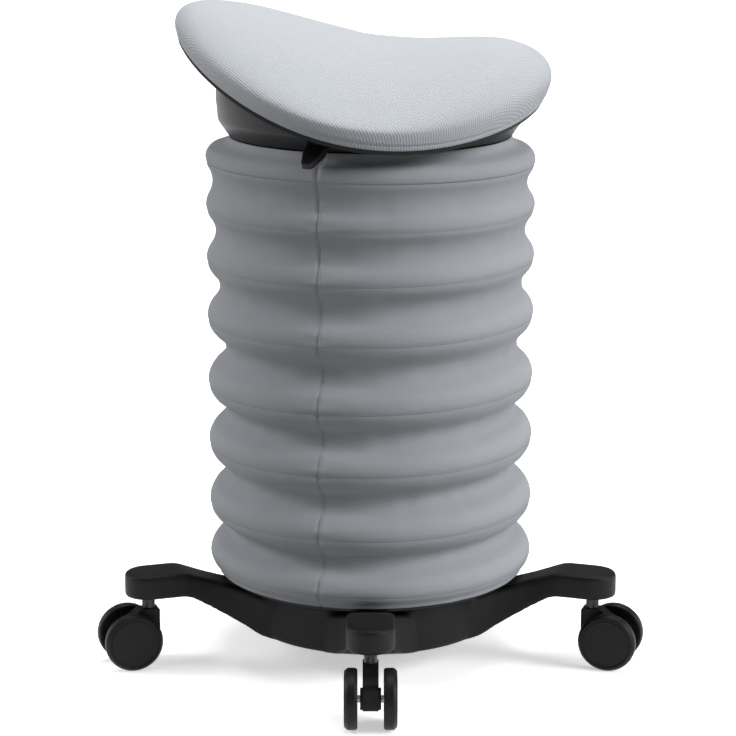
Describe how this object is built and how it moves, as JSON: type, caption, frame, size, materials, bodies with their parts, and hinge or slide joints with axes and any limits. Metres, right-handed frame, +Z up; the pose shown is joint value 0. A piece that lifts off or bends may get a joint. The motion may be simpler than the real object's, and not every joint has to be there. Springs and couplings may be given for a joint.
{
  "type": "wobble stool",
  "caption": "Wobble stool: padded saddle seat on a gas lift and sprung tilting foot, inside a hooped bellows sleeve, on a star base with twin-wheel castors.",
  "frame": {"origin": "on the floor, under the column's axis", "axes": "+Z up along the column; +X towards the seat's front (its lower, thicker end); +Y to the sitter's left"},
  "size_m": [0.4752, 0.4289, 0.5679],
  "materials": {
    "black_nylon": "fine-grained black moulded nylon",
    "charcoal_plastic": "satin charcoal moulding",
    "black_shell": "satin black moulding",
    "wheel_plastic": "smooth black plastic",
    "guide_plastic": "natural acetal",
    "plain_steel": "zinc-plated steel",
    "painted_steel": "black powder coat",
    "cylinder_steel": "polished hard chrome",
    "bronze": "sintered bronze",
    "spring_steel": "blackened spring steel",
    "seat_fabric": "light grey fine-weave upholstery",
    "seat_foam": "moulded foam",
    "sleeve_fabric": "mid grey woven sleeve fabric"
  },
  "bodies": {
    "base": {"star_base": "black_nylon", "castor_stems": "plain_steel", "foot_yoke": "plain_steel", "foot_bolts": "plain_steel", "lower_bushes": "bronze", "return_spring": "spring_steel", "sleeve_dish": "charcoal_plastic", "dish_screws": "plain_steel", "fabric_sleeve": "sleeve_fabric", "hoop_8": "spring_steel"},
    "cross": {"yoke_cross": "plain_steel"},
    "column": {"column_foot": "painted_steel", "upper_bushes": "bronze", "lift_tube": "painted_steel", "guide_bush": "guide_plastic", "thrust_bearing": "plain_steel"},
    "rod": {"piston_rod": "cylinder_steel", "rod_clip": "spring_steel", "piston": "guide_plastic"},
    "seat": {"gas_cylinder": "cylinder_steel", "seat_mechanism": "painted_steel", "seat_bolts": "plain_steel", "lever_pin": "plain_steel", "seat_bowl": "charcoal_plastic", "bowl_screws": "plain_steel", "seat_shell": "black_shell", "seat_foam": "seat_foam", "seat_cover": "seat_fabric"},
    "lever": {"height_lever": "painted_steel", "lever_handle": "black_nylon"},
    "valve": {"valve_pin": "plain_steel"},
    "hoop_7": {"hoop_7": "spring_steel"},
    "hoop_6": {"hoop_6": "spring_steel"},
    "hoop_5": {"hoop_5": "spring_steel"},
    "hoop_4": {"hoop_4": "spring_steel"},
    "hoop_3": {"hoop_3": "spring_steel"},
    "hoop_2": {"hoop_2": "spring_steel"},
    "hoop_1": {"hoop_1": "spring_steel"},
    "neck": {"neck_ring": "charcoal_plastic"},
    "castor_1": {"castor_1_body": "black_nylon", "castor_1_axle": "plain_steel"},
    "wheel_1a": {"castor_1_wheel_a": "wheel_plastic"},
    "wheel_1b": {"castor_1_wheel_b": "wheel_plastic"},
    "castor_2": {"castor_2_body": "black_nylon", "castor_2_axle": "plain_steel"},
    "wheel_2a": {"castor_2_wheel_a": "wheel_plastic"},
    "wheel_2b": {"castor_2_wheel_b": "wheel_plastic"},
    "castor_3": {"castor_3_body": "black_nylon", "castor_3_axle": "plain_steel"},
    "wheel_3a": {"castor_3_wheel_a": "wheel_plastic"},
    "wheel_3b": {"castor_3_wheel_b": "wheel_plastic"},
    "castor_4": {"castor_4_body": "black_nylon", "castor_4_axle": "plain_steel"},
    "wheel_4a": {"castor_4_wheel_a": "wheel_plastic"},
    "wheel_4b": {"castor_4_wheel_b": "wheel_plastic"},
    "castor_5": {"castor_5_body": "black_nylon", "castor_5_axle": "plain_steel"},
    "wheel_5a": {"castor_5_wheel_a": "wheel_plastic"},
    "wheel_5b": {"castor_5_wheel_b": "wheel_plastic"}
  },
  "joints": [
    {"name": "tilt_fore_aft", "type": "hinge", "parent": "base", "child": "cross", "pos_m": [0, 0, 0.078], "axis": [0, 1, 0], "range_deg": [-10, 10], "stiffness_Nm_per_rad": 250, "deforming": ["return_spring", "fabric_sleeve"]},
    {"name": "tilt_side", "type": "hinge", "parent": "cross", "child": "column", "pos_m": [0, 0, 0.078], "axis": [1, 0, 0], "range_deg": [-10, 10], "stiffness_Nm_per_rad": 250, "deforming": ["return_spring", "fabric_sleeve"]},
    {"name": "seat_swivel", "type": "hinge", "parent": "column", "child": "rod", "pos_m": [0, 0, 0.127], "axis": [0, 0, 1], "continuous": true},
    {"name": "seat_height", "type": "slide", "parent": "rod", "child": "seat", "axis": [0, 0, 1], "range_m": [-0.07, 0.04], "deforming": ["fabric_sleeve"]},
    {"name": "height_lever_lift", "type": "hinge", "parent": "seat", "child": "lever", "pos_m": [-0.00793, -0.02265, 0.4808], "axis": [-0.9438, 0.3305, 0], "range_deg": [0, 5], "stiffness_Nm_per_rad": 5},
    {"name": "valve_press", "type": "slide", "parent": "seat", "child": "valve", "axis": [0, 0, -1], "range_m": [0, 0.0021]},
    {"name": "hoop_7_tilt", "type": "hinge", "parent": "base", "child": "hoop_7", "pos_m": [0, 0, 0.078], "axis": [0, 1, 0], "range_deg": [-10, 10]},
    {"name": "hoop_6_tilt", "type": "hinge", "parent": "hoop_7", "child": "hoop_6", "pos_m": [0, 0, 0.078], "axis": [1, 0, 0], "range_deg": [-10, 10]},
    {"name": "hoop_5_lift", "type": "slide", "parent": "hoop_6", "child": "hoop_5", "axis": [0, 0, 1], "range_m": [-0.01439, 0.00823]},
    {"name": "hoop_4_lift", "type": "slide", "parent": "hoop_5", "child": "hoop_4", "axis": [0, 0, 1], "range_m": [-0.01534, 0.00877]},
    {"name": "hoop_3_lift", "type": "slide", "parent": "hoop_4", "child": "hoop_3", "axis": [0, 0, 1], "range_m": [-0.01358, 0.00776]},
    {"name": "hoop_2_lift", "type": "slide", "parent": "hoop_3", "child": "hoop_2", "axis": [0, 0, 1], "range_m": [-0.01208, 0.00691]},
    {"name": "hoop_1_lift", "type": "slide", "parent": "hoop_2", "child": "hoop_1", "axis": [0, 0, 1], "range_m": [-0.01086, 0.00621]},
    {"name": "neck_ring_lift", "type": "slide", "parent": "hoop_1", "child": "neck", "axis": [0, 0, 1], "range_m": [-0.00381, 0.00218]},
    {"name": "castor_1_swivel", "type": "hinge", "parent": "base", "child": "castor_1", "pos_m": [0, -0.202, 0.05], "axis": [0, 0, 1], "continuous": true},
    {"name": "wheel_1a_spin", "type": "hinge", "parent": "castor_1", "child": "wheel_1a", "pos_m": [0, -0.2188, 0.025], "axis": [1, 0, 0], "continuous": true},
    {"name": "wheel_1b_spin", "type": "hinge", "parent": "castor_1", "child": "wheel_1b", "pos_m": [0, -0.2188, 0.025], "axis": [1, 0, 0], "continuous": true},
    {"name": "castor_2_swivel", "type": "hinge", "parent": "base", "child": "castor_2", "pos_m": [0.19211, -0.06242, 0.05], "axis": [0, 0, 1], "continuous": true},
    {"name": "wheel_2a_spin", "type": "hinge", "parent": "castor_2", "child": "wheel_2a", "pos_m": [0.20809, -0.06761, 0.025], "axis": [0.309, 0.9511, 0], "continuous": true},
    {"name": "wheel_2b_spin", "type": "hinge", "parent": "castor_2", "child": "wheel_2b", "pos_m": [0.20809, -0.06761, 0.025], "axis": [0.309, 0.9511, 0], "continuous": true},
    {"name": "castor_3_swivel", "type": "hinge", "parent": "base", "child": "castor_3", "pos_m": [0.11873, 0.16342, 0.05], "axis": [0, 0, 1], "continuous": true},
    {"name": "wheel_3a_spin", "type": "hinge", "parent": "castor_3", "child": "wheel_3a", "pos_m": [0.10193, 0.16342, 0.025], "axis": [0, -1, 0], "continuous": true},
    {"name": "wheel_3b_spin", "type": "hinge", "parent": "castor_3", "child": "wheel_3b", "pos_m": [0.10193, 0.16342, 0.025], "axis": [0, -1, 0], "continuous": true},
    {"name": "castor_4_swivel", "type": "hinge", "parent": "base", "child": "castor_4", "pos_m": [-0.11873, 0.16342, 0.05], "axis": [0, 0, 1], "continuous": true},
    {"name": "wheel_4a_spin", "type": "hinge", "parent": "castor_4", "child": "wheel_4a", "pos_m": [-0.10193, 0.16342, 0.025], "axis": [0, 1, 0], "continuous": true},
    {"name": "wheel_4b_spin", "type": "hinge", "parent": "castor_4", "child": "wheel_4b", "pos_m": [-0.10193, 0.16342, 0.025], "axis": [0, 1, 0], "continuous": true},
    {"name": "castor_5_swivel", "type": "hinge", "parent": "base", "child": "castor_5", "pos_m": [-0.19211, -0.06242, 0.05], "axis": [0, 0, 1], "continuous": true},
    {"name": "wheel_5a_spin", "type": "hinge", "parent": "castor_5", "child": "wheel_5a", "pos_m": [-0.20809, -0.06761, 0.025], "axis": [0.309, -0.9511, 0], "continuous": true},
    {"name": "wheel_5b_spin", "type": "hinge", "parent": "castor_5", "child": "wheel_5b", "pos_m": [-0.20809, -0.06761, 0.025], "axis": [0.309, -0.9511, 0], "continuous": true}
  ],
  "couplings": [
    {"joint": "valve_press", "follows": "height_lever_lift", "m_per_rad": 0.024},
    {"joint": "hoop_7_tilt", "follows": "tilt_fore_aft", "ratio": 1},
    {"joint": "hoop_6_tilt", "follows": "tilt_side", "ratio": 1},
    {"joint": "hoop_5_lift", "follows": "seat_height", "ratio": 0.20543},
    {"joint": "hoop_4_lift", "follows": "seat_height", "ratio": 0.21899},
    {"joint": "hoop_3_lift", "follows": "seat_height", "ratio": 0.1938},
    {"joint": "hoop_2_lift", "follows": "seat_height", "ratio": 0.17248},
    {"joint": "hoop_1_lift", "follows": "seat_height", "ratio": 0.15504},
    {"joint": "neck_ring_lift", "follows": "seat_height", "ratio": 0.054264}
  ]
}
